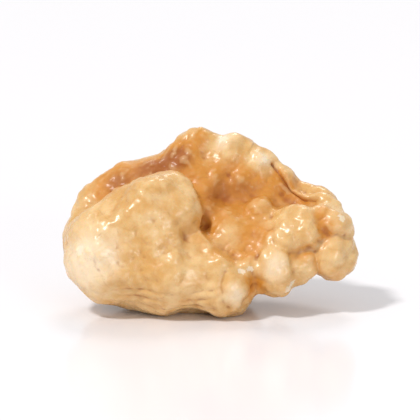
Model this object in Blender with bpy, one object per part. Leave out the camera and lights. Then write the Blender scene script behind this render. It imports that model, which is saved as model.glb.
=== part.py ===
"""One half of a walnut kernel, cracked out of its shell, in metres with +Z up.

It lies on its wrinkled outer side, with the open inner side leaning up and towards -Y.
The origin is on the floor, under the middle of its bounding box, and its length is along X.
The kernel grew as one piece, so it is one closed body.
"""
import bpy
import bmesh
import numpy as np
from mathutils import Euler, Matrix, Vector

# Everything below is in millimetres and degrees, and becomes metres in the last step.
MM = 0.001

# Driving dimensions
KERNEL_LENGTH = 27.8       # longest extent, along X; the rest keeps its proportion to it
FACE_LEAN = 48.0           # slope of the open inner side, from the floor
FACE_LEVEL = 5.9           # distance of the open inner side from the lists' origin
FACE_ROUNDING = 1.6        # how softly the dome turns over into the open side
DOME_BLEND = 3.0           # how softly the two halves of the dome run together
REST_TRIM = 0.3            # how much of the lowest lobes is pressed flat on the floor

# The outer dome: centre and radii, turned with the open side
DOME_TURN = (FACE_LEAN, -4.0, 0.0)
DOME = [
    ((-2.6, 1.3, 7.7), (10.3, 8.0, 6.9)),
    ((5.5, 1.1, 7.6), (7.6, 5.4, 5.6)),
]

# Lobes: name, centre, radii, turn, and the width of the crease round it
LOBES = [
    ("back lobe, left", (-5.2, 3.4, 3.7), (4.4, 3.4, 3.5), (0, 0, 0), 1.5),
    ("back lobe, right", (0.9, 3.3, 3.2), (3.4, 3.3, 3.3), (0, 0, 0), 1.5),
    ("slope below the hollow", (2.6, -0.9, 6.0), (4.2, 2.8, 2.8), (30, 0, 0), 2.2),
    ("left lobe", (-7.0, -1.5, 8.0), (6.5, 3.5, 3.9), (0, -22, 0), 1.0),
    ("thumb of the left lobe", (-4.5, -1.1, 10.7), (2.9, 2.5, 3.0), (0, -22, 0), 2.4),
    ("wing", (2.0, 3.2, 12.1), (5.2, 3.7, 1.7), (60, 19, 0), 1.0),
    ("floor of the valley", (-0.4, 0.7, 9.5), (1.8, 1.7, 2.3), (0, 0, 0), 1.2),
    ("right base", (8.4, -0.2, 6.9), (4.4, 3.2, 3.2), (0, 0, 0), 1.0),
    ("right lobe, low front", (6.2, -3.2, 4.6), (2.4, 2.4, 2.5), (0, 0, 0), 0.5),
    ("right lobe, small", (4.0, -3.3, 5.0), (1.3, 1.7, 1.3), (0, 0, 0), 0.6),
    ("right lobe, middle", (8.6, -2.4, 4.7), (1.7, 2.1, 2.1), (0, 15, 0), 0.5),
    ("right lobe, low end", (11.5, -1.3, 5.5), (2.5, 2.4, 2.4), (0, 0, 0), 0.5),
    ("right lobe, high end", (11.3, -0.6, 8.3), (2.3, 2.3, 2.3), (0, 0, 0), 0.5),
    ("lip end", (2.7, -4.3, 2.6), (1.2, 1.5, 1.5), (0, 0, 0), 0.5),
    ("hollow bump, left", (1.6, 0.1, 8.8), (1.0, 1.0, 1.0), (0, 0, 0), 0.8),
    ("hollow bump, right", (5.0, 0.4, 9.2), (1.2, 1.2, 1.2), (0, 0, 0), 0.8),
]

# Ridges: name, points along the ridge, its radius at each, and the width of the crease
RIDGES = [
    ("left rim",
     [(-12.2, 0.9, 7.4), (-11.1, 1.7, 9.7), (-8.6, 2.8, 11.3), (-5.4, 3.4, 12.3), (-2.6, 3.8, 13.6)],
     [1.2, 1.5, 1.6, 1.6, 1.5], 1.4),
    ("lower lip",
     [(-9.2, -1.5, 5.4), (-4.0, -2.1, 4.3), (0.9, -2.9, 3.1)],
     [4.5, 4.2, 3.3], 1.6),
    ("lumpy edge of the wing",
     [(-2.6, 4.0, 14.1), (-0.7, 4.6, 15.4), (0.9, 4.4, 14.7), (2.2, 4.2, 14.2),
      (3.7, 4.0, 13.5), (5.2, 3.9, 13.3), (6.3, 3.6, 12.5), (7.0, 3.3, 12.0)],
     [1.4, 1.6, 1.2, 1.6, 1.2, 1.6, 1.1, 1.1], 0.8),
    ("thin edge of the wing",
     [(7.2, 2.8, 12.1), (7.8, 2.0, 11.0), (9.0, 1.4, 10.3), (10.6, 0.9, 10.1), (12.2, 0.6, 9.6)],
     [0.8, 0.65, 0.6, 0.65, 0.8], 0.5),
    ("right lobe, ridge",
     [(4.9, -2.1, 6.4), (7.2, -2.3, 7.2), (9.0, -2.0, 8.0)],
     [1.4, 1.9, 2.0], 0.7),
]

# Wrinkles of the outer side
WRINKLE_LENGTH = 5.4       # from one furrow to the next but one
WRINKLE_STRETCH = (1.2, 0.9, 0.9)
WRINKLE_WAVES = 26         # plane waves summed, and how much their lengths differ
WRINKLE_SPREAD = 0.35
OUTER_HEIGHT = 1.3         # of the ridges over the furrows, on the outer side
INNER_HEIGHT = 0.2         # the same, nearly smoothed away, on the inner side
WRINKLE_LEVEL = 0.62       # share of that height that lies below the smooth surface
FURROW_WIDTH = 0.7         # how quickly a furrow's wall rises
FURROW_FLOOR = 0.25        # how rounded its bottom is
BEND_LENGTH = 11.0         # slow wander of the furrows
BEND_REACH = 0.9
BEND_WAVES = 8
BEND_SPREAD = 0.5
MIDDLE_FURROW = (6.2, 0.7, 0.45, 11.0)  # height up the dome, sway, sway per mm, half length
# Where the wrinkles fade in: from the first distance to the second
FADE_BEHIND_FACE = (0.2, 2.8)
FADE_FROM_FRONT = (-3.0, 0.5)
FADE_OFF_FLOOR = (0.4, 2.4)
FADE_MIDDLE_FURROW = (4.0, 6.0)  # behind the face, for the middle furrow alone

# Meshing
SKIN_CELL = 0.36           # grid on which the lobes become one skin
BALL_DETAIL = 4            # subdivisions of the balls that the lobes start from
BALLS_PER_RADIUS = 2.5     # how closely they follow one another along a ridge
SETTLE_STEPS = 6
SETTLE_REACH = 0.35        # the furthest that a point moves in one step
STEEP_ENOUGH = 0.3         # the slope at a sharp crease is never taken as less than this
PROBE = 0.03               # spacing used to find the surface's slope
FLOOR_SNAP = 0.03          # points this near the floor are set on it
TRIANGLES = 7600
SEED = 11

SKIN_COLOUR = (0.62, 0.38, 0.17, 1.0)
SKIN_ROUGHNESS = 0.42

lean = np.radians(FACE_LEAN)
FACE_NORMAL = np.array([0.0, -np.sin(lean), np.cos(lean)])
FACE_UPHILL = np.array([0.0, np.cos(lean), np.sin(lean)])


def clear_scene():
    for item in list(bpy.data.objects):
        bpy.data.objects.remove(item, do_unlink=True)


# ---- the smooth shape, as a distance from its surface ----

def turned(points, turn):
    """The points as a lobe turned by these angles would see them."""
    matrix = Euler([np.radians(angle) for angle in turn], "XYZ").to_matrix()
    return points @ np.array(matrix)


def from_ellipsoid(points, centre, radii, turn=(0, 0, 0)):
    local = turned(points - np.array(centre), turn)
    near = np.linalg.norm(local / np.array(radii), axis=1)
    steep = np.linalg.norm(local / np.array(radii) ** 2, axis=1)
    return near * (near - 1.0) / np.maximum(steep, 1e-9)


def from_ridge(points, path, radii):
    """Distance from a rounded ridge whose radius changes evenly between its points."""
    path = np.array(path, float)
    nearest = np.full(len(points), np.inf)
    for start, end, first, last in zip(path[:-1], path[1:], radii[:-1], radii[1:]):
        along = end - start
        share = np.clip((points - start) @ along / (along @ along), 0.0, 1.0)
        away = np.linalg.norm(points - start - share[:, None] * along, axis=1)
        nearest = np.minimum(nearest, away - first - (last - first) * share)
    return nearest


def blend(first, second, width):
    """The union of two distances, with a crease that is filled over this width."""
    overlap = np.maximum(width - np.abs(first - second), 0.0) / width
    return np.minimum(first, second) - 0.25 * width * overlap ** 2


def carve(first, second, width):
    """The part inside both, with a rounded edge."""
    return -blend(-first, -second, width)


def smooth_shape(points):
    dome = [from_ellipsoid(points, centre, radii, DOME_TURN) for centre, radii in DOME]
    shape = blend(dome[0], dome[1], DOME_BLEND)
    shape = carve(shape, points @ FACE_NORMAL - FACE_LEVEL, FACE_ROUNDING)
    for _, centre, radii, turn, crease in LOBES:
        shape = blend(shape, from_ellipsoid(points, centre, radii, turn), crease)
    for _, path, radii, crease in RIDGES:
        shape = blend(shape, from_ridge(points, path, radii), crease)
    return shape


# ---- the wrinkles ----

def make_waves(count, wavelength, spread, stretch, seed):
    """Plane waves in random directions: together they are zero along winding lines."""
    draw = np.random.default_rng(seed)
    heading = draw.normal(size=(count, 3))
    heading /= np.linalg.norm(heading, axis=1)[:, None]
    lengths = wavelength * (1.0 + spread * (draw.random(count) - 0.5))
    vectors = heading * (2.0 * np.pi / lengths)[:, None] * np.array(stretch)
    return vectors, 2.0 * np.pi * draw.random(count)


def sum_waves(points, waves):
    vectors, phases = waves
    return np.cos(points @ vectors.T + phases).sum(axis=1) / np.sqrt(len(phases) / 2.0)


def ease(value, low, high):
    share = np.clip((value - low) / (high - low), 0.0, 1.0)
    return share * share * (3.0 - 2.0 * share)


WRINKLES = make_waves(WRINKLE_WAVES, WRINKLE_LENGTH, WRINKLE_SPREAD, WRINKLE_STRETCH, SEED)
BENDS = [make_waves(BEND_WAVES, BEND_LENGTH, BEND_SPREAD, (1, 1, 1), SEED + axis) for axis in (1, 2, 3)]
WRINKLE_SLOPE = np.sqrt((WRINKLES[0] ** 2).sum(axis=1).mean())


def outer_share(points):
    """1 on the wrinkled outer side, 0 on the inner side and where the kernel lies."""
    behind = FACE_LEVEL - points @ FACE_NORMAL
    side = ease(behind, *FADE_BEHIND_FACE) * ease(points[:, 1], *FADE_FROM_FRONT)
    return side * ease(points[:, 2], *FADE_OFF_FLOOR)


def ridge_height(points):
    """0 in the furrows, rising to 1 on the ridges between them."""
    bent = points + BEND_REACH * np.stack([sum_waves(points, bend) for bend in BENDS], axis=1)
    away = np.abs(sum_waves(bent, WRINKLES)) / WRINKLE_SLOPE
    level, sway, rate, reach = MIDDLE_FURROW
    middle = np.abs(points @ FACE_UPHILL - level - sway * np.sin(rate * points[:, 0]))
    beyond = np.maximum(np.abs(points[:, 0]) - reach, 0.0)
    outer = ease(FACE_LEVEL - points @ FACE_NORMAL, *FADE_MIDDLE_FURROW)
    middle = middle + beyond + (1.0 - outer) * reach
    away = np.hypot(np.minimum(away, middle), FURROW_FLOOR) - FURROW_FLOOR
    return 1.0 - np.exp(-away / FURROW_WIDTH)


def wrinkle(points):
    """How far the wrinkled surface stands above the smooth one."""
    outer = outer_share(points)
    height = outer * OUTER_HEIGHT + (1.0 - outer) * INNER_HEIGHT
    return height * (ridge_height(points) - WRINKLE_LEVEL)


# ---- the mesh ----

def placed(centre, radii, turn):
    spin = Euler([np.radians(angle) for angle in turn], "XYZ").to_matrix().to_4x4()
    return Matrix.Translation(centre) @ spin @ Matrix.Diagonal((*radii, 1.0))


def add_ball(mesh, centre, radii, turn=(0, 0, 0)):
    made = bmesh.ops.create_icosphere(mesh, subdivisions=BALL_DETAIL, radius=1.0,
                                      matrix=placed(centre, radii, turn))
    return made["verts"]


def add_dome_half(mesh, centre, radii):
    verts = add_ball(mesh, centre, radii, DOME_TURN)
    edges = {edge for vert in verts for edge in vert.link_edges}
    faces = {face for vert in verts for face in vert.link_faces}
    cut = bmesh.ops.bisect_plane(mesh, geom=[*verts, *edges, *faces],
                                 plane_co=Vector(FACE_NORMAL * FACE_LEVEL),
                                 plane_no=Vector(FACE_NORMAL), clear_outer=True)
    rim = [item for item in cut["geom_cut"] if isinstance(item, bmesh.types.BMEdge)]
    bmesh.ops.edgeloop_fill(mesh, edges=rim)


def add_ridge(mesh, path, radii):
    """Balls along the ridge, close enough to run together."""
    for start, end, first, last in zip(path[:-1], path[1:], radii[:-1], radii[1:]):
        start, end = Vector(start), Vector(end)
        count = 1 + int(BALLS_PER_RADIUS * (end - start).length / min(first, last))
        for step in range(count + 1):
            share = step / count
            radius = first + (last - first) * share
            add_ball(mesh, start.lerp(end, share), (radius, radius, radius))


def evaluated_mesh(item):
    graph = bpy.context.evaluated_depsgraph_get()
    return bpy.data.meshes.new_from_object(item.evaluated_get(graph))


def make_skin():
    """Every lobe in its place, run together into one closed skin."""
    balls = bmesh.new()
    for centre, radii in DOME:
        add_dome_half(balls, centre, radii)
    for _, centre, radii, turn, _ in LOBES:
        add_ball(balls, centre, radii, turn)
    for _, path, radii, _ in RIDGES:
        add_ridge(balls, path, radii)
    mesh = bpy.data.meshes.new("lobes")
    balls.to_mesh(mesh)
    balls.free()
    item = bpy.data.objects.new("lobes", mesh)
    bpy.context.scene.collection.objects.link(item)
    remesh = item.modifiers.new("one_skin", "REMESH")
    remesh.mode = "VOXEL"
    remesh.voxel_size = SKIN_CELL
    skin = evaluated_mesh(item)
    bpy.data.objects.remove(item, do_unlink=True)
    return skin


def read_points(mesh):
    flat = np.empty(len(mesh.vertices) * 3, np.float32)
    mesh.vertices.foreach_get("co", flat)
    return flat.reshape(-1, 3).astype(float)


def write_points(mesh, points):
    mesh.vertices.foreach_set("co", points.astype(np.float32).ravel())
    mesh.update()


def outward(points):
    """The smooth shape's value at each point, and which way it grows."""
    value = smooth_shape(points)
    ahead = [smooth_shape(points + PROBE * axis) for axis in np.eye(3)]
    return value, (np.stack(ahead, axis=1) - value[:, None]) / PROBE


def settle(points):
    """Moves the points straight onto the smooth surface, a little at a time."""
    for _ in range(SETTLE_STEPS):
        value, slope = outward(points)
        steep = np.maximum((slope ** 2).sum(axis=1), STEEP_ENOUGH)
        step = np.clip(value / steep, -SETTLE_REACH, SETTLE_REACH)
        points = points - step[:, None] * slope
    return points


def wrinkled(points):
    """Raises and lowers the settled points straight out from the smooth surface."""
    _, slope = outward(points)
    slope /= np.maximum(np.linalg.norm(slope, axis=1), STEEP_ENOUGH)[:, None]
    return points + wrinkle(points)[:, None] * slope


def to_size(points):
    """Scales to the driving length, and sets the floor and the middle of the box at the origin."""
    points = points * KERNEL_LENGTH / np.ptp(points[:, 0])
    low, high = points.min(axis=0), points.max(axis=0)
    middle = (low + high) / 2.0
    points = points - np.array([middle[0], middle[1], low[2] + REST_TRIM])
    points[:, 2] = np.maximum(points[:, 2], 0.0)
    return points


def thinned(mesh):
    """The same surface with about the wanted number of triangles."""
    mesh.calc_loop_triangles()
    item = bpy.data.objects.new("fine_kernel", mesh)
    bpy.context.scene.collection.objects.link(item)
    decimate = item.modifiers.new("fewer_triangles", "DECIMATE")
    decimate.ratio = TRIANGLES / len(mesh.loop_triangles)
    decimate.use_collapse_triangulate = True
    fewer = evaluated_mesh(item)
    bpy.data.objects.remove(item, do_unlink=True)
    return fewer


def skin_finish():
    """The kernel's thin golden-brown skin: dry, with a slight oily sheen."""
    finish = bpy.data.materials.new("kernel_skin")
    finish.use_nodes = True
    shader = finish.node_tree.nodes["Principled BSDF"]
    shader.inputs["Base Color"].default_value = SKIN_COLOUR
    shader.inputs["Roughness"].default_value = SKIN_ROUGHNESS
    shader.inputs["Metallic"].default_value = 0.0
    return finish


def build_kernel():
    mesh = make_skin()
    points = wrinkled(settle(read_points(mesh)))
    write_points(mesh, to_size(points))
    mesh = thinned(mesh)
    points = read_points(mesh)
    on_floor = points[:, 2] < FLOOR_SNAP
    points[on_floor, 2] = 0.0
    write_points(mesh, points * MM)
    mesh.name = "walnut_kernel"
    mesh.materials.clear()
    mesh.materials.append(skin_finish())
    mesh.shade_smooth()
    kernel = bpy.data.objects.new("walnut_kernel", mesh)
    bpy.context.scene.collection.objects.link(kernel)
    return kernel


clear_scene()
build_kernel()
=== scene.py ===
import math

import bmesh
import bpy
import numpy as np
from mathutils import Euler, Matrix, Vector


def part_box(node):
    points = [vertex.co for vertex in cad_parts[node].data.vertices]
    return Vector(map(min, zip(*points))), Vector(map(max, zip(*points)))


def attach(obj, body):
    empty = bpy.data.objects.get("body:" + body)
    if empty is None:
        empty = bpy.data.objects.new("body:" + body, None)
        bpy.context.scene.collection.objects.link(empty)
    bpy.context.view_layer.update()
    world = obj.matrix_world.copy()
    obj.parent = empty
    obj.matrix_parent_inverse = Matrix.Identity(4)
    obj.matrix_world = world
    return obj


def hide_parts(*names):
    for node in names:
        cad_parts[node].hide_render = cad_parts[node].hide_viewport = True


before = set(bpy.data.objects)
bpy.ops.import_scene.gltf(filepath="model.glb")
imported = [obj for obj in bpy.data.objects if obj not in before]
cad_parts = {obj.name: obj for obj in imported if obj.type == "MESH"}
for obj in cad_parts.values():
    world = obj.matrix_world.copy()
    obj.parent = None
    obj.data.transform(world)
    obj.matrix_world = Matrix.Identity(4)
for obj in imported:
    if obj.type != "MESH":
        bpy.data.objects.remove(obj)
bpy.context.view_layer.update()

mm = 0.001   # the kernel is drawn in millimetres and set in its place in metres
tiny = 1e-9  # keeps a division from failing


# camera: level with the kernel's open side, a little above it, on a long lens
cameraSettings = {
    "lookDown": 12.0,       # degrees
    "lens": 280.0,          # mm on a 36 mm frame
    "frameWidth": 0.0395,   # metres across the picture at the kernel
    "aimHeight": 0.0092,    # above the floor
    "nearClip": 0.01,
}


def makeCamera(settings):
    data = bpy.data.cameras.new("camera")
    data.lens = settings["lens"]
    data.clip_start = settings["nearClip"]
    down = math.radians(settings["lookDown"])
    distance = settings["frameWidth"] * settings["lens"] / data.sensor_width
    aim = Vector((0, 0, settings["aimHeight"]))
    camera = bpy.data.objects.new("camera", data)
    camera.location = aim + distance * Vector((0, -math.cos(down), math.sin(down)))
    camera.rotation_euler = (math.pi / 2 - down, 0, 0)
    bpy.context.scene.collection.objects.link(camera)
    bpy.context.scene.camera = camera


makeCamera(cameraSettings)
print("camera set")


# the kernel: lobes and ridges that grow into one another, in mm, its length along x
kernel = {
    # the open side: how far it leans back in degrees, its distance from the origin, its rounding
    "faceLean": 48.0,
    "faceLevel": 5.9,
    "faceRounding": 1.6,
    # the outer dome: two halves, each a centre and radii, cut off at the open side
    "domeTurn": (48.0, -4.0, 0.0),
    "domeBlend": 3.0,
    "dome": [
        ((-2.6, 1.3, 7.7), (10.3, 8.0, 6.9)),
        ((5.5, 1.1, 7.6), (7.6, 5.4, 5.6)),
    ],
    # a lobe: centre, radii, turn in degrees, and how wide the crease is where it meets the rest
    "lobes": {
        "backLeft": ((-5.2, 3.4, 3.7), (4.4, 3.4, 3.5), (0, 0, 0), 1.5),
        "backRight": ((0.9, 3.3, 3.2), (3.4, 3.3, 3.3), (0, 0, 0), 1.5),
        "slope": ((2.6, -0.9, 6.0), (4.2, 2.8, 2.8), (30, 0, 0), 2.2),
        "left": ((-7.0, -1.5, 8.0), (6.5, 3.5, 3.9), (0, -22, 0), 1.0),
        "thumb": ((-4.5, -1.1, 10.7), (2.9, 2.5, 3.0), (0, -22, 0), 2.0),
        "wing": ((2.0, 3.2, 12.1), (5.2, 3.7, 1.7), (60, 19, 0), 1.0),
        "rightBase": ((8.4, -0.2, 6.9), (4.4, 3.2, 3.2), (0, 0, 0), 1.0),
        "valleyFloor": ((-0.4, 0.7, 9.5), (1.8, 1.7, 2.3), (0, 0, 0), 1.2),
        "rightLowFront": ((6.2, -3.2, 4.6), (2.4, 2.4, 2.5), (0, 0, 0), 0.35),
        "rightSmall": ((4.0, -3.3, 5.0), (1.3, 1.7, 1.3), (0, 0, 0), 0.6),
        "rightMiddle": ((8.6, -2.4, 4.7), (1.7, 2.1, 2.1), (0, 15, 0), 0.4),
        "rightLowEnd": ((11.5, -1.3, 5.5), (2.5, 2.4, 2.4), (0, 0, 0), 0.4),
        "rightHighEnd": ((11.3, -0.6, 8.3), (2.3, 2.3, 2.3), (0, 0, 0), 0.4),
        "lipEnd": ((2.7, -4.3, 2.6), (1.2, 1.5, 1.5), (0, 0, 0), 0.4),
        "bumpLeft": ((1.6, 0.1, 8.8), (1.0, 1.0, 1.0), (0, 0, 0), 0.8),
        "bumpRight": ((5.0, 0.4, 9.2), (1.2, 1.2, 1.2), (0, 0, 0), 0.8),
    },
    # a ridge: its points, its radius at each, and its crease
    "ridges": {
        "leftRim": (
            [(-12.2, 0.9, 7.4), (-11.1, 1.7, 9.7), (-8.6, 2.8, 11.3), (-5.4, 3.4, 12.3),
             (-2.6, 3.8, 13.6)],
            [1.2, 1.5, 1.6, 1.6, 1.5], 1.4),
        "lowerLip": (
            [(-9.2, -1.5, 5.4), (-4.0, -2.1, 4.3), (0.9, -2.9, 3.1)],
            [4.5, 4.2, 3.3], 1.6),
        "wingEdge": (
            [(-2.6, 4.0, 14.1), (-0.7, 4.6, 15.4), (0.9, 4.4, 14.7), (2.2, 4.2, 14.2),
             (3.7, 4.0, 13.5), (5.2, 3.9, 13.3), (6.3, 3.6, 12.5), (7.0, 3.3, 12.0)],
            [1.4, 1.6, 1.2, 1.6, 1.2, 1.6, 1.1, 1.1], 0.8),
        "thinEdge": (
            [(7.2, 2.8, 12.1), (7.8, 2.0, 11.0), (9.0, 1.4, 10.3), (10.6, 0.9, 10.1),
             (12.2, 0.6, 9.6)],
            [0.8, 0.65, 0.6, 0.65, 0.8], 0.4),
        "rightRidge": (
            [(4.9, -2.1, 6.4), (7.2, -2.3, 7.2), (9.0, -2.0, 8.0)],
            [1.4, 1.9, 2.0], 0.5),
    },
    # where the outer side starts: behind the open side, along y, and above the floor
    "fadeBehindFace": (0.2, 2.8),
    "fadeFromFront": (-3.0, 0.5),
    "fadeOffFloor": (0.4, 2.4),
    # winding wrinkles of the outer side, and the furrows between them
    "wrinkleCount": 26,
    "wrinkleLength": 5.4,
    "wrinkleSpread": 0.35,
    "wrinkleStretch": (1.2, 0.9, 0.9),
    "wrinkleSeed": 11,
    "wrinkleHeight": 1.4,
    "wrinkleLevel": 0.62,   # the share of that height that is sunk below the smooth shape
    "furrowWidth": 0.6,
    "furrowFloor": 0.12,
    "furrowMask": 0.3,
    # long waves that bend the wrinkles, one set for each axis
    "bendCount": 8,
    "bendLength": 11.0,
    "bendSpread": 0.5,
    "bendReach": 0.9,
    "bendSeed": 12,
    # the furrow between the two lobes of the dome: level, sway, rate of that sway, half length
    "middleFurrow": (6.2, 0.7, 0.45, 11.0),
    "middleFurrowFade": (4.0, 6.0),
    # smaller folds that run over the wrinkles: length and height
    "folds": [(2.4, 0.22), (1.1, 0.07)],
    "foldCount": 30,
    "foldSpread": 0.6,
    "foldSeed": 31,
    "foldWidth": 0.12,      # as a share of the length
    "foldLevel": 0.4,
    # smooth waves of the inner side: length and height
    "innerWaves": [(5.0, 0.18), (2.6, 0.06), (1.2, 0.035), (0.6, 0.014)],
    "innerCount": 24,
    "innerSpread": 0.6,
    "innerSeed": 51,
    # strokes, stains with their painted shade and highlight, and scrapes with their painted highlights are
    # laid on the front, across and up from this height as the
    # camera looks. A stroke: height, width, then its points
    "strokeMiddle": 8.45,
    "strokeReach": 3,       # in widths
    "strokes": {
        "thumbSide": (-0.25, 0.6, [(-1.2, 2.2), (-1.2, 0.8), (-1.6, -0.4), (-2.0, -1.4)]),
        "pitFold": (-0.35, 0.7, [(-0.6, -0.3), (0.5, -1.4), (1.6, -2.3), (2.4, -3.4), (3.0, -4.6)]),
        "lipEndSide": (-0.30, 0.40, [(1.5, -4.8), (1.2, -6.0), (1.3, -7.2), (1.9, -8.2)]),
        "layerHigh": (-0.10, 0.22, [(-9.0, -6.3), (-5.6, -6.5), (-2.4, -6.7), (0.4, -6.5)]),
        "layerMiddle": (-0.11, 0.20, [(-7.8, -7.0), (-4.6, -7.3), (-1.4, -7.4), (0.8, -7.1)]),
        "layerLow": (-0.10, 0.18, [(-6.4, -7.8), (-3.0, -8.2), (0.5, -8.1)]),
        "lowFrontLeft": (-0.20, 0.40, [(4.6, -3.0), (4.1, -4.4), (4.4, -6.0)]),
        "lowFrontRight": (-0.15, 0.35, [(7.6, -3.0), (8.0, -4.4), (7.9, -5.8)]),
        "endsBetween": (-0.18, 0.35, [(10.6, -0.9), (11.6, -1.3), (12.8, -1.2)]),
        "wingFoot": (-0.40, 0.9, [(-1.2, 3.2), (0.8, 2.5), (3.2, 2.4), (5.2, 2.9)]),
        "thinEdgeInside": (-0.45, 0.30, [(6.4, 5.4), (6.9, 4.2), (7.6, 3.0), (8.8, 2.3), (10.0, 2.2)]),
        "pit": (-0.40, 0.50, [(-0.7, 0.4), (-0.2, 0.0)]),
        "rimEnd": (-0.35, 0.7, [(-4.4, 5.4), (-3.2, 6.2), (-2.5, 7.4)]),
        "streak": (0.14, 0.6, [(-3.6, -0.2), (-2.8, -1.6), (-3.0, -3.4)]),
        "foldBelowPit": (0.30, 0.7, [(-1.6, -0.8), (-0.2, -2.2), (0.8, -3.6)]),
        "wingFoldLeft": (0.22, 0.7, [(1.4, 7.4), (1.4, 6.0), (0.8, 4.6)]),
        "wingFoldRight": (0.24, 0.7, [(4.8, 6.0), (4.0, 4.9), (3.0, 4.2)]),
        "wingFoldBetween": (-0.20, 0.5, [(3.2, 7.2), (2.8, 5.8), (2.0, 4.6)]),
        "ridgeFold": (-0.18, 0.45, [(5.6, -0.6), (6.8, -0.6), (8.0, -1.4)]),
    },
    # stains with painted light: amber above 0, partly real colour and partly painted shade such as the
    # shadow along the rim behind the left lobe, and cream below 0 as painted highlight on crests and lit
    # lobes: across, up, radius, depth
    "stainsWithPaintedLight": [
        (1.6, 4.6, 2.6, 0.9), (-2.9, 6.3, 1.8, 2.0), (-0.6, 8.3, 1.2, 0.8), (4.6, 3.2, 2.2, 0.8),
        (0.4, 2.6, 1.9, 1.1), (-0.4, 0.3, 1.4, 1.1), (3.2, 1.2, 2.4, 0.7), (1.0, -2.6, 1.9, 0.5),
        (-8.8, 3.8, 2.4, 1.6), (-5.4, 5.2, 1.8, 1.7), (7.4, 3.3, 0.9, 1.7), (6.8, 4.6, 0.7, 1.0),
        (8.7, 2.3, 0.7, 1.2), (10.4, 0.6, 0.7, 0.6), (4.4, -1.2, 1.7, 1.1), (3.6, -3.0, 1.0, 0.6),
        (10.9, 1.5, 0.8, 0.7), (11.0, -0.8, 0.8, 1.5), (4.0, -6.0, 1.0, 1.0), (-2.0, -7.6, 1.6, 0.4),
        (-6.0, -3.4, 1.8, 0.35), (-8.5, 1.2, 1.6, 0.3), (-4.4, 1.6, 1.8, 0.3), (9.4, -3.2, 0.9, 0.6),
        (12.0, -5.2, 1.2, 0.7), (7.9, -3.0, 0.7, 0.4), (-3.9, 4.9, 1.0, -0.4),
        (-12.0, -3.9, 2.9, -0.95), (-9.4, -2.6, 2.6, -0.4), (1.4, 7.6, 1.3, -1.1),
        (5.2, 5.9, 1.2, -1.1), (8.2, -0.4, 1.4, -0.3), (6.2, -4.2, 1.5, -0.8), (9.2, 0.4, 1.4, 0.3),
        (12.2, 0.4, 1.3, 0.4), (2.6, -6.8, 1.2, -0.9),
    ],
    # where the thin skin is scraped off and the pale kernel shows, placed on the bright spots so they also
    # serve as painted highlights: across, up, radius
    "scrapesAndHighlights": [
        (3.1, -4.6, 0.5), (3.9, -4.4, 0.5), (1.4, 7.8, 0.7), (7.4, -6.2, 0.5), (7.9, -5.8, 0.5),
        (12.5, 0.4, 0.6), (5.4, 6.0, 0.5), (-12.0, -2.6, 0.7),
    ],
    # mesh: cell size, how finely the balls under it are made, and how often it is smoothed
    "cell": 0.14,
    "ballDetail": 4,
    "ballsPerRadius": 3,
    "leastSlope": 0.3,
    "slopeRounds": 3,
    "lastRounds": 1,
    "creaseRounds": 12,
    "hollowRounds": 90,
    "openReaches": (0.6, 1.2, 2.0, 3.0, 4.2, 5.6),
    "trim": 0.3,            # the lowest lobes are pressed this flat
}


# distances to a surface, negative inside it
def fromEllipsoid(points, centre, radii, turn=(0, 0, 0)):
    matrix = Euler([math.radians(angle) for angle in turn]).to_matrix()
    squares = ((points - np.array(centre)) @ np.array(matrix)) ** 2
    near = np.sqrt(squares @ np.power(radii, -2.0))
    steep = np.sqrt(squares @ np.power(radii, -4.0))
    return near * (near - 1) / np.maximum(steep, tiny)


def fromRidge(points, path, radii):
    path = np.array(path, float)
    nearest = np.full(len(points), np.inf)
    for start, end, first, last in zip(path[:-1], path[1:], radii[:-1], radii[1:]):
        along = end - start
        reach = along @ along
        offset = points - start
        shadow = offset @ along
        share = np.clip(shadow / reach, 0, 1)
        square = np.einsum("ij,ij->i", offset, offset) - share * (2 * shadow - share * reach)
        nearest = np.minimum(nearest, np.sqrt(np.maximum(square, 0)) - first - (last - first) * share)
    return nearest


def blend(first, second, width):
    overlap = np.maximum(width - np.abs(first - second), 0) / width
    return np.minimum(first, second) - width / 4 * overlap ** 2


def carve(first, second, width):
    return -blend(-first, -second, width)


def ease(value, low, high):
    share = np.clip((value - low) / (high - low), 0, 1)
    return share * share * (3 - 2 * share)


lean = math.radians(kernel["faceLean"])
faceNormal = np.array([0, -math.sin(lean), math.cos(lean)])
faceUphill = np.array([0, math.cos(lean), math.sin(lean)])


def smoothShape(points):
    dome = [fromEllipsoid(points, *half, kernel["domeTurn"]) for half in kernel["dome"]]
    shape = blend(*dome, kernel["domeBlend"])
    shape = carve(shape, points @ faceNormal - kernel["faceLevel"], kernel["faceRounding"])
    for centre, radii, turn, crease in kernel["lobes"].values():
        shape = blend(shape, fromEllipsoid(points, centre, radii, turn), crease)
    for path, radii, crease in kernel["ridges"].values():
        shape = blend(shape, fromRidge(points, path, radii), crease)
    return shape


# waves in random directions add up to nothing along winding lines, which become the furrows
def makeWaves(count, length, spread, seed, stretch=(1, 1, 1)):
    draw = np.random.default_rng(seed)
    heading = draw.normal(size=(count, 3))
    heading /= np.linalg.norm(heading, axis=1)[:, None]
    lengths = length * (1 + spread * (draw.random(count) - 0.5))
    vectors = heading * (2 * math.pi / lengths)[:, None] * np.array(stretch)
    return vectors, 2 * math.pi * draw.random(count)


def sumWaves(points, waves):
    vectors, phases = waves
    return np.cos(points @ vectors.T + phases).sum(axis=1) / math.sqrt(len(phases) / 2)


def waveDistance(points, waves):
    slope = np.sqrt((waves[0] ** 2).sum(axis=1).mean())
    return np.abs(sumWaves(points, waves)) / slope


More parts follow.
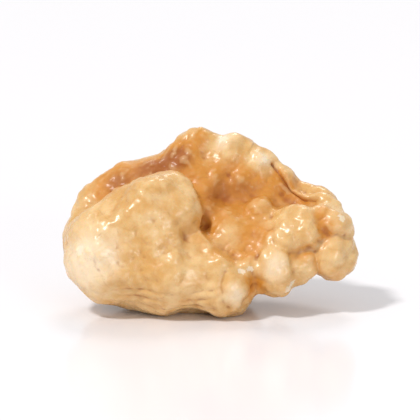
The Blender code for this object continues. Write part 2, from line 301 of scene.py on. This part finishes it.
wrinkleWaves = makeWaves(kernel["wrinkleCount"], kernel["wrinkleLength"], kernel["wrinkleSpread"],
                         kernel["wrinkleSeed"], kernel["wrinkleStretch"])
bendWaves = [makeWaves(kernel["bendCount"], kernel["bendLength"], kernel["bendSpread"],
                       kernel["bendSeed"] + axis) for axis in range(3)]
foldWaves = [makeWaves(kernel["foldCount"], length, kernel["foldSpread"], kernel["foldSeed"] + i)
             for i, (length, height) in enumerate(kernel["folds"])]
innerWaves = [makeWaves(kernel["innerCount"], length, kernel["innerSpread"], kernel["innerSeed"] + i)
              for i, (length, height) in enumerate(kernel["innerWaves"])]


def outerShare(points):
    behind = kernel["faceLevel"] - points @ faceNormal
    side = ease(behind, *kernel["fadeBehindFace"]) * ease(points[:, 1], *kernel["fadeFromFront"])
    return side * ease(points[:, 2], *kernel["fadeOffFloor"])


def furrowDistance(points):
    bend = np.stack([sumWaves(points, waves) for waves in bendWaves], axis=1)
    away = waveDistance(points + kernel["bendReach"] * bend, wrinkleWaves)
    level, sway, rate, reach = kernel["middleFurrow"]
    middle = np.abs(points @ faceUphill - level - sway * np.sin(rate * points[:, 0]))
    beyond = np.maximum(np.abs(points[:, 0]) - reach, 0)
    outer = ease(kernel["faceLevel"] - points @ faceNormal, *kernel["middleFurrowFade"])
    return np.minimum(away, middle + beyond + (1 - outer) * reach)


def wrinkle(points):
    outer = outerShare(points)
    away = np.hypot(furrowDistance(points), kernel["furrowFloor"]) - kernel["furrowFloor"]
    outside = kernel["wrinkleHeight"] * (1 - np.exp(-away / kernel["furrowWidth"]) - kernel["wrinkleLevel"])
    for (length, height), waves in zip(kernel["folds"], foldWaves):
        fold = np.exp(-waveDistance(points, waves) / (kernel["foldWidth"] * length))
        outside += height * (kernel["foldLevel"] - fold)
    inside = sum(height * sumWaves(points, waves)
                 for (length, height), waves in zip(kernel["innerWaves"], innerWaves))
    return outer * outside + (1 - outer) * inside


# strokes drop onto the smooth surface from the front, along the camera's look
lookDown = math.radians(cameraSettings["lookDown"])
viewUp = np.array([0, math.sin(lookDown), math.cos(lookDown)])
viewIn = np.array([0, math.cos(lookDown), -math.sin(lookDown)])
viewMiddle = np.array([0, 0, kernel["strokeMiddle"]])


def smoothPath(corners, step=0.35):
    corners = np.array(corners, float)
    ends = np.vstack([2 * corners[0] - corners[1], corners, 2 * corners[-1] - corners[-2]])
    path = []
    for a, b, c, d in zip(ends[:-3], ends[1:-2], ends[2:-1], ends[3:]):
        for t in np.linspace(0, 1, 1 + int(np.linalg.norm(c - b) / step), endpoint=False):
            path.append(0.5 * (2 * b + (c - a) * t + (2 * a - 5 * b + 4 * c - d) * t * t
                               + (3 * b - a - 3 * c + d) * t ** 3))
    path.append(corners[-1])
    return np.array(path)


def dropOn(path, start=14, rounds=90, share=0.6, longest=2):
    points = viewMiddle + path[:, :1] * np.array([1, 0, 0]) + path[:, 1:] * viewUp - start * viewIn
    for _ in range(rounds):
        points = points + share * np.clip(smoothShape(points), 0, longest)[:, None] * viewIn
    return points


def stroked(points):
    raised = np.zeros(len(points))
    for height, width, corners in kernel["strokes"].values():
        path = dropOn(smoothPath(corners))
        margin = kernel["strokeReach"] * width
        near = ((points > path.min(axis=0) - margin) & (points < path.max(axis=0) + margin)).all(axis=1)
        away = fromRidge(points[near], path, [0] * len(path))
        raised[near] += height * np.exp(-(away / width) ** 2)
    return raised


# rough mesh: overlapping balls, joined into one skin
def placed(centre, radii, turn):
    spin = Euler([math.radians(angle) for angle in turn]).to_matrix().to_4x4()
    return Matrix.Translation(centre) @ spin @ Matrix.Diagonal((*radii, 1))


def addBall(mesh, centre, radii, turn=(0, 0, 0)):
    matrix = placed(centre, radii, turn)
    ball = bmesh.ops.create_icosphere(mesh, subdivisions=kernel["ballDetail"], radius=1, matrix=matrix)
    return ball["verts"]


def addDomeHalf(mesh, centre, radii):
    verts = addBall(mesh, centre, radii, kernel["domeTurn"])
    edges = {edge for vert in verts for edge in vert.link_edges}
    faces = {face for vert in verts for face in vert.link_faces}
    cut = bmesh.ops.bisect_plane(mesh, geom=[*verts, *edges, *faces],
                                 plane_co=Vector(faceNormal * kernel["faceLevel"]),
                                 plane_no=Vector(faceNormal), clear_outer=True)
    rim = [item for item in cut["geom_cut"] if isinstance(item, bmesh.types.BMEdge)]
    bmesh.ops.edgeloop_fill(mesh, edges=rim)


def addRidge(mesh, path, radii):
    for start, end, first, last in zip(path[:-1], path[1:], radii[:-1], radii[1:]):
        start, end = Vector(start), Vector(end)
        count = 1 + int(kernel["ballsPerRadius"] * (end - start).length / min(first, last))
        for step in range(count + 1):
            radius = first + (last - first) * step / count
            addBall(mesh, start.lerp(end, step / count), (radius,) * 3)


def makeSkin():
    balls = bmesh.new()
    for half in kernel["dome"]:
        addDomeHalf(balls, *half)
    for centre, radii, turn, crease in kernel["lobes"].values():
        addBall(balls, centre, radii, turn)
    for path, radii, crease in kernel["ridges"].values():
        addRidge(balls, path, radii)
    mesh = bpy.data.meshes.new("lobes")
    balls.to_mesh(mesh)
    balls.free()
    item = bpy.data.objects.new("lobes", mesh)
    bpy.context.scene.collection.objects.link(item)
    remesh = item.modifiers.new("oneSkin", "REMESH")
    remesh.mode = "VOXEL"
    remesh.voxel_size = kernel["cell"]
    skin = bpy.data.meshes.new_from_object(item.evaluated_get(bpy.context.evaluated_depsgraph_get()))
    bpy.data.objects.remove(item, do_unlink=True)
    return skin


def meshParts(mesh):
    flat = np.empty(len(mesh.vertices) * 3, np.float32)
    mesh.vertices.foreach_get("co", flat)
    quads = np.empty(len(mesh.polygons) * 4, np.int32)
    mesh.polygons.foreach_get("vertices", quads)
    edges = np.empty(len(mesh.edges) * 2, np.int32)
    mesh.edges.foreach_get("vertices", edges)
    return flat.reshape(-1, 3).astype(float), quads.reshape(-1, 4), edges.reshape(-1, 2)


def outward(points, probe=0.02):
    value = smoothShape(points)
    ahead = [smoothShape(points + probe * axis) for axis in np.eye(3)]
    return value, (np.stack(ahead, axis=1) - value[:, None]) / probe


# moves the rough skin onto the exact shape
def settle(points, rounds=5, longest=0.3):
    for _ in range(rounds):
        value, slope = outward(points)
        steep = np.maximum((slope ** 2).sum(axis=1), kernel["leastSlope"])
        points = points - np.clip(value / steep, -longest, longest)[:, None] * slope
    return points


def averaged(values, edges, rounds):
    count = np.bincount(edges.ravel(), minlength=len(values))[:, None]
    for _ in range(rounds):
        total = np.empty_like(values)
        for k in range(values.shape[1]):
            column = values[:, k]
            total[:, k] = (np.bincount(edges[:, 0], column[edges[:, 1]], len(values))
                           + np.bincount(edges[:, 1], column[edges[:, 0]], len(values)))
        values = 0.5 * values + 0.5 * total / count
    return values


def meshNormals(points, quads):
    across = np.cross(points[quads[:, 2]] - points[quads[:, 0]], points[quads[:, 3]] - points[quads[:, 1]])
    normals = np.stack([np.bincount(quads.ravel(), np.repeat(across[:, k], 4), len(points))
                        for k in range(3)], axis=1)
    return normals / np.maximum(np.linalg.norm(normals, axis=1), tiny)[:, None]


# how open the surface is to the air, from how far other lobes stand off it; where it is low the colour gets
# painted shade
def openness(points, normals):
    reaches = kernel["openReaches"]
    clear = np.zeros(len(points))
    for reach in reaches:
        clear += np.clip(smoothShape(points + normals * reach) / reach, 0, 1) / len(reaches)
    return clear


# real stains together with painted shade (amber) and painted highlight (cream), each around a point dropped
# on the front
def stainedWithPaintedLight(points):
    depth = np.zeros(len(points))
    for across, up, radius, amount in kernel["stainsWithPaintedLight"]:
        middle = dropOn(np.array([(across, up)]))[0]
        depth += amount * np.exp(-((points - middle) ** 2).sum(axis=1) / radius ** 2)
    return depth


# pale bare patches that also serve as painted highlights
def scrapedAndHighlit(points):
    bare = np.zeros(len(points))
    for across, up, radius in kernel["scrapesAndHighlights"]:
        middle = dropOn(np.array([(across, up)]))[0]
        bare = np.maximum(bare, 1 - np.linalg.norm(points - middle, axis=1) / radius)
    return bare


# as long as the CAD kernel, over its middle, and pressed flat on the floor
def fitToCad(points):
    low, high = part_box("walnut_kernel")
    low, high = np.array(low) / mm, np.array(high) / mm
    points = points * (high[0] - low[0]) / np.ptp(points[:, 0])
    middle = (points.min(axis=0) + points.max(axis=0)) / 2
    points[:, 0] += (low[0] + high[0]) / 2 - middle[0]
    points[:, 1] += (low[1] + high[1]) / 2 - middle[1]
    points[:, 2] += low[2] - points[:, 2].min() - kernel["trim"]
    points[:, 2] = np.maximum(points[:, 2], low[2])
    return points


def storeMask(mesh, name, values):
    layer = mesh.attributes.new(name, "FLOAT", "POINT")
    layer.data.foreach_set("value", values.astype(np.float32))


def makeKernel():
    mesh = makeSkin()
    print("skin joined:", len(mesh.vertices), "points")
    rough, quads, edges = meshParts(mesh)
    smooth = settle(rough)
    slope = outward(smooth)[1]
    slope /= np.maximum(np.linalg.norm(slope, axis=1), kernel["leastSlope"])[:, None]
    slope = averaged(slope, edges, kernel["slopeRounds"])
    points = smooth + (wrinkle(smooth) + stroked(smooth))[:, None] * slope
    points = averaged(points, edges, kernel["lastRounds"])
    print("lobes settled and wrinkled")

    # masks that the skin's colour follows; crease, hollow, open and furrow put painted shade into it, and
    # the crease mask also puts painted highlight on the crests
    normals = meshNormals(points, quads)
    near = averaged(points, edges, kernel["creaseRounds"])
    far = averaged(near, edges, kernel["hollowRounds"])
    storeMask(mesh, "crease", ((near - points) * normals).sum(axis=1))
    storeMask(mesh, "hollow", ((far - points) * normals).sum(axis=1))
    storeMask(mesh, "open", openness(smooth, slope))
    storeMask(mesh, "stainedWithPaintedLight", stainedWithPaintedLight(smooth))
    storeMask(mesh, "scrapedAndHighlit", scrapedAndHighlit(smooth))
    storeMask(mesh, "outer", outerShare(smooth))
    storeMask(mesh, "furrow", np.exp(-furrowDistance(smooth) / kernel["furrowMask"]))

    mesh.vertices.foreach_set("co", (fitToCad(points) * mm).astype(np.float32).ravel())
    mesh.update()
    mesh.shade_smooth()
    mesh.name = "walnut_kernel_half"
    piece = bpy.data.objects.new("walnut_kernel_half", mesh)
    bpy.context.scene.collection.objects.link(piece)
    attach(piece, "root")
    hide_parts("walnut_kernel")
    return piece


kernelPiece = makeKernel()
print("kernel made:", len(kernelPiece.data.polygons), "faces")


# shader building: a Wire is an output socket, and sums on it add Math nodes
class Wire:
    def __init__(self, socket):
        self.socket = socket
        self.tree = socket.id_data

    def math(self, operation, other=0.0, flip=False):
        node = self.tree.nodes.new("ShaderNodeMath")
        node.operation = operation
        for slot, value in zip(node.inputs, (other, self) if flip else (self, other)):
            plug(slot, value)
        return Wire(node.outputs[0])

    def __add__(self, other):
        return self.math("ADD", other)

    def __sub__(self, other):
        return self.math("SUBTRACT", other)

    def __rsub__(self, other):
        return self.math("SUBTRACT", other, flip=True)

    def __mul__(self, other):
        return self.math("MULTIPLY", other)

    __radd__ = __add__
    __rmul__ = __mul__


def plug(slot, value):
    if isinstance(value, Wire):
        value.tree.links.new(value.socket, slot)
    elif isinstance(value, tuple) and len(value) == 3 and slot.type == "RGBA":
        slot.default_value = (*value, 1)
    else:
        slot.default_value = value


# the nodes of a material, or of the room's light
class Finish:
    def __init__(self, owner, shaderName="Principled BSDF"):
        owner.use_nodes = True
        self.owner = owner
        self.tree = owner.node_tree
        self.shader = self.tree.nodes[shaderName]

    # any node: its type, its settings, then the values or wires of its sockets
    def add(self, kind, settings, values, output=0):
        node = self.tree.nodes.new("ShaderNode" + kind)
        for name, value in settings.items():
            setattr(node, name, value)
        for name, value in values.items():
            plug(node.inputs[name], value)
        return Wire(node.outputs[output])

    def mask(self, name):
        return self.add("Attribute", {"attribute_name": name}, {}, "Fac")

    def between(self, value, low, high):
        return self.add("MapRange", {"interpolation_type": "SMOOTHSTEP"},
                        {"Value": value, "From Min": low, "From Max": high})

    def mix(self, share, first, second):
        return self.add("Mix", {"data_type": "RGBA"}, {0: share, 6: first, 7: second}, 2)

    def noise(self, place, scale, detail, roughness):
        return self.add("TexNoise", {}, {"Vector": place, "Scale": scale, "Detail": detail,
                                         "Roughness": roughness})

    def set(self, values):
        for name, value in values.items():
            plug(self.shader.inputs[name], value)


# the kernel's skin
skin = {
    # cream is also laid on as painted highlight; amber and crease are also laid on as painted shade
    "cream": (0.89, 0.72, 0.50),
    "pale": (0.78, 0.525, 0.25),
    "golden": (0.66, 0.37, 0.12),
    "amber": (0.60, 0.235, 0.022),
    "outer": (0.44, 0.205, 0.062),
    "crease": (0.31, 0.075, 0.006),
    "vein": (0.30, 0.11, 0.025),
    "bare": (0.86, 0.74, 0.56),
    # noises: how many to a mm, detail, roughness
    "noises": {
        "patches": (0.22, 3, 0.55),
        "blotches": (0.9, 4, 0.6),
        "grain": (5.0, 4, 0.6),
        "ragged": (2.2, 5, 0.7),
        "fine": (2.0, 5, 0.6),
    },
    # where a mask starts to show and where it is full
    "edges": {
        "warm": (0.38, 0.62),
        "outerTone": (0.36, 0.60),
        "cream": (0.0, 1.0),
        "amber": (0.0, 1.1),
        "dark": (0.9, 1.9),
        "dull": (0.3, 1.0),
        "open": (0.55, 0.97),
        "hollow": (0.06, 0.45),
        "crease": (0.012, 0.08),
        "furrow": (0.45, 0.95),
        "crest": (0.006, 0.05),
        "veins": (0.40, 0.60),
        "flecks": (0.58, 0.74),
        "bare": (0.25, 0.5),
        "scrapedAndHighlit": (0.0, 0.3),
    },
    # how much of its colour each layer gives at most
    "shares": {
        "cream": 0.9,
        "amber": 0.92,
        "shelteredShade": 0.6,
        "dark": 0.8,
        "hollow": 0.45,
        "crease": 0.7,
        "furrow": 0.6,
        "crest": 0.35,
        "veinsInside": 0.12,
        "veinsOutside": 0.55,   # on top of the inside's
        "flecks": 0.20,
        "bare": 0.75,
    },
    "warmth": {"patches": 0.55, "blotches": 0.45},
    "outerTone": {"blotches": 0.6, "patches": 0.4},
    "stainLightBlotches": 0.5,       # how much the blotches break up the stains and their painted light
    "openBlotches": 0.16,       # how ragged a scraped place with its painted highlight is
    "bareHighlightRagged": 2.4,          # how ragged a scraped place is
    "veins": [(0.20, 0.012, 0.0), (0.42, 0.016, 7.0)],      # noise scale, width, offset
    "veinNoise": (0.6, 0.5),    # detail and roughness
    "gloss": 0.19,              # roughness where nothing is added
    "roughness": {"blotches": 0.16, "inCrease": 0.2, "bare": 0.25, "dull": 0.22},
    "shelteredDull": 0.4,       # a sheltered place, with its painted shade, against one with stains and painted light
    "relief": {"fine": 0.6, "grain": 0.4, "veins": -0.3, "bare": -0.8},
    "reliefStrength": 0.4,
    "reliefHeight": 0.045,      # mm
    "glow": 0.6,                # mm that light spreads inside
    "fixed": {
        "Specular IOR Level": 0.42, "Subsurface Weight": 0.15, "Subsurface Radius": (1.0, 0.40, 0.14),
        "Coat Weight": 0.1, "Coat Roughness": 0.15,
    },
}


def weighed(masks, weights, total=0):
    for name, weight in weights.items():
        total = total + masks[name] * weight
    return total


def skinFinish():
    finish = Finish(bpy.data.materials.new("kernelSkin"))
    where = finish.add("TexCoord", {}, {}, "Object")
    place = finish.add("VectorMath", {"operation": "SCALE"}, {"Vector": where, "Scale": 1 / mm})
    share = skin["shares"]

    def soft(name):
        return finish.noise(place, *skin["noises"][name])

    def edge(name, value):
        return finish.between(value, *skin["edges"][name])

    # big soft patches and smaller blotches, browner on the outer side
    blotches = soft("blotches")
    outer = finish.mask("outer")
    masks = {"patches": soft("patches"), "blotches": blotches}
    colour = finish.mix(edge("warm", weighed(masks, skin["warmth"])), skin["pale"], skin["golden"])
    brown = edge("outerTone", weighed(masks, skin["outerTone"])) * outer
    colour = finish.mix(brown, colour, skin["outer"])

    # amber where stained, and as painted shade where sheltered and where the stain mask paints shade; dark
    # brown, mostly painted shadow, where that mask is highest; cream as painted highlight where it is below
    # 0
    stainWithPaintedLight = finish.mask("stainedWithPaintedLight") + (blotches - 0.5) * skin["stainLightBlotches"]
    shelteredShade = 1 - edge("open", finish.mask("open") + (blotches - 0.5) * skin["openBlotches"])
    colour = finish.mix(edge("cream", 0 - stainWithPaintedLight) * share["cream"], colour, skin["cream"])
    amber = (edge("amber", stainWithPaintedLight) + shelteredShade * share["shelteredShade"]).math("MINIMUM", share["amber"])
    colour = finish.mix(amber, colour, skin["amber"])
    colour = finish.mix(edge("dark", stainWithPaintedLight) * share["dark"], colour, skin["crease"])

    # darkest in the creases, hollows and outer furrows, partly the skin's own browner colour and partly
    # painted shade; pale on the crests as painted highlight
    crease = finish.mask("crease")
    inCrease = edge("crease", crease)
    inFurrow = edge("furrow", finish.mask("furrow")) * outer
    colour = finish.mix(edge("hollow", finish.mask("hollow")) * share["hollow"], colour, skin["crease"])
    colour = finish.mix(inCrease * share["crease"], colour, skin["crease"])
    colour = finish.mix(inFurrow * share["furrow"], colour, skin["crease"])
    colour = finish.mix(edge("crest", 0 - crease) * share["crest"], colour, skin["pale"])

    # veins wind where two soft noises cross their middle, and fine flecks lie between them
    veins = 0
    for scale, width, offset in skin["veins"]:
        moved = finish.add("VectorMath", {"operation": "ADD"}, {0: place, 1: (offset, offset, offset)})
        line = (finish.noise(moved, scale, *skin["veinNoise"]) - 0.5).math("ABSOLUTE")
        veins = veins + (1 - finish.between(line, 0, width))
    veins = veins * edge("veins", blotches)
    colour = finish.mix(veins * (outer * share["veinsOutside"] + share["veinsInside"]), colour, skin["vein"])
    grain = soft("grain")
    colour = finish.mix(edge("flecks", grain) * share["flecks"], colour, skin["vein"])

    # scraped places, pale bare kernel that also serves as painted highlights
    scrapeAndHighlight = finish.mask("scrapedAndHighlit")
    bare = edge("bare", scrapeAndHighlight + (soft("ragged") - 0.5) * skin["bareHighlightRagged"]) * edge("scrapedAndHighlit", scrapeAndHighlight)
    colour = finish.mix(bare * share["bare"], colour, skin["bare"])

    dull = edge("dull", stainWithPaintedLight) + shelteredShade * skin["shelteredDull"]
    masks.update({"inCrease": inCrease, "bare": bare, "dull": dull, "fine": soft("fine"),
                  "grain": grain, "veins": veins})
    bump = finish.add("Bump", {}, {"Strength": skin["reliefStrength"],
                                   "Distance": skin["reliefHeight"] * mm,
                                   "Height": weighed(masks, skin["relief"])})
    finish.set({"Base Color": colour, "Normal": bump, "Subsurface Scale": skin["glow"] * mm,
                "Roughness": weighed(masks, skin["roughness"], skin["gloss"]), **skin["fixed"]})
    return finish.owner


kernelPiece.data.materials.append(skinFinish())
print("skin finished")


# surroundings: white floor, white all round, and soft lights
studio = {
    "floorHalf": 0.9,
    "floor": {"Base Color": (0.90, 0.885, 0.92), "Roughness": 0.16, "Specular IOR Level": 0.25},
    "roundLight": 0.5,      # from the white room
    "roundSeen": 1.0,       # how white that room looks
    "roundMirrored": 0.8,   # how strongly it shows in shiny things
    # where each soft light comes from, its strength, its spread in degrees and its colour
    "lights": {
        "keyLeft": ((-0.50, -0.42, 0.92), 1.95, 8, (1.0, 0.985, 0.96)),
        "fillRight": ((0.45, -0.85, 0.22), 0.6, 20, (0.98, 0.99, 1.0)),
        "backTop": ((0.10, 0.60, 0.80), 0.7, 20, (1.0, 1.0, 1.0)),
    },
}


def makeFloor():
    half = studio["floorHalf"]
    corners = [(-half, -half, 0), (half, -half, 0), (half, half, 0), (-half, half, 0)]
    mesh = bpy.data.meshes.new("floor")
    mesh.from_pydata(corners, [], [(0, 1, 2, 3)])
    floor = bpy.data.objects.new("floor", mesh)
    bpy.context.scene.collection.objects.link(floor)
    finish = Finish(bpy.data.materials.new("whiteTable"))
    finish.set(studio["floor"])
    mesh.materials.append(finish.owner)


def makeLights():
    for name, (place, strength, spread, colour) in studio["lights"].items():
        data = bpy.data.lights.new(name, "SUN")
        data.energy = strength
        data.angle = math.radians(spread)
        data.color = colour
        light = bpy.data.objects.new(name, data)
        light.location = place
        light.rotation_mode = "QUATERNION"
        light.rotation_quaternion = (-Vector(place)).to_track_quat("-Z", "Y")
        bpy.context.scene.collection.objects.link(light)


def makeRoom():
    room = Finish(bpy.data.worlds.new("studio"), "Background")
    dull = room.add("LightPath", {}, {}, "Is Diffuse Ray")
    shiny = room.add("LightPath", {}, {}, "Is Glossy Ray")
    strength = studio["roundSeen"] - dull * (studio["roundSeen"] - studio["roundLight"])
    strength = strength - shiny * (studio["roundSeen"] - studio["roundMirrored"])
    room.set({"Color": (1, 1, 1), "Strength": strength})
    bpy.context.scene.world = room.owner
    bpy.context.scene.view_settings.view_transform = "Standard"


makeFloor()
makeLights()
makeRoom()
print("studio set")
